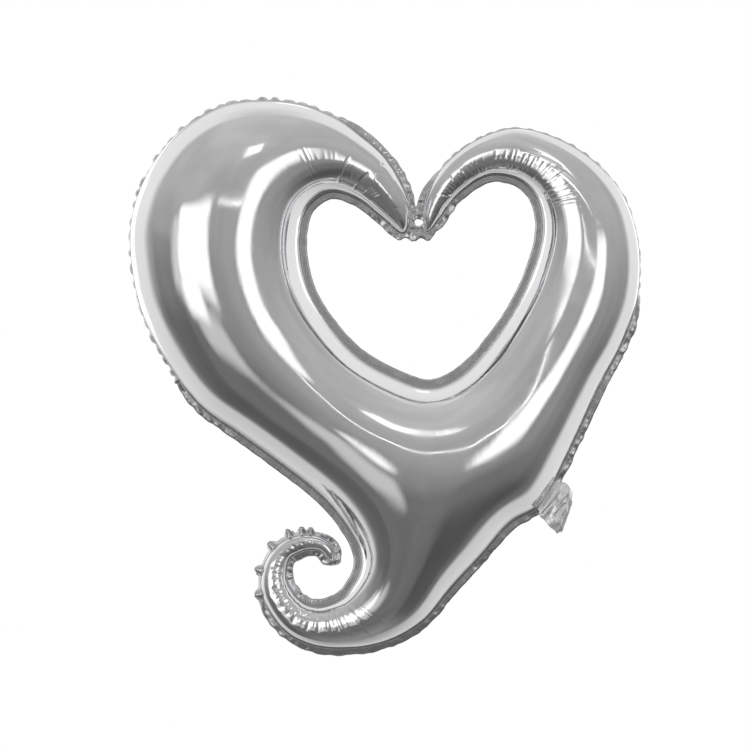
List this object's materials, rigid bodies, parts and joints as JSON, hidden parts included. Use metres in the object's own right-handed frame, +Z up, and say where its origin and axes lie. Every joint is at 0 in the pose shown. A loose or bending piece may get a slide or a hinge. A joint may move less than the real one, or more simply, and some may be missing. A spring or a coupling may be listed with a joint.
{
  "type": "heart-shaped foil balloon",
  "caption": "Inflated open-heart foil balloon with a curled hook end, a heat-sealed border and a folding fill tail with a self-sealing valve.",
  "frame": {"origin": "middle of the neck, on the fold line where the fill tail leaves the sealed border, midway between the two panels", "axes": "+Z up as the balloon hangs in view, +X to the right seen from the front, front panel towards -Y; the seam lies in the XZ plane"},
  "size_m": [0.4294, 0.1262, 0.461],
  "materials": {
    "foil": "polished",
    "sealed_foil": "satin",
    "valve_film": "gloss"
  },
  "bodies": {
    "envelope": {"front_panel": "foil", "rear_panel": "foil", "heat_seal_band": "sealed_foil", "valve_front_film": "valve_film", "valve_rear_film": "valve_film"},
    "fill_tail": {"tail_front_ply": "foil", "tail_rear_ply": "foil", "tail_lower_side_seal": "sealed_foil", "tail_upper_side_seal": "sealed_foil", "tail_valve_front_film": "valve_film", "tail_valve_rear_film": "valve_film"}
  },
  "joints": [
    {"name": "tail_fold", "type": "hinge", "parent": "envelope", "child": "fill_tail", "pos_m": [0, 0, 0], "axis": [0.5501, 0, 0.8351], "range_deg": [-85, 85], "stiffness_Nm_per_rad": 0.002}
  ]
}
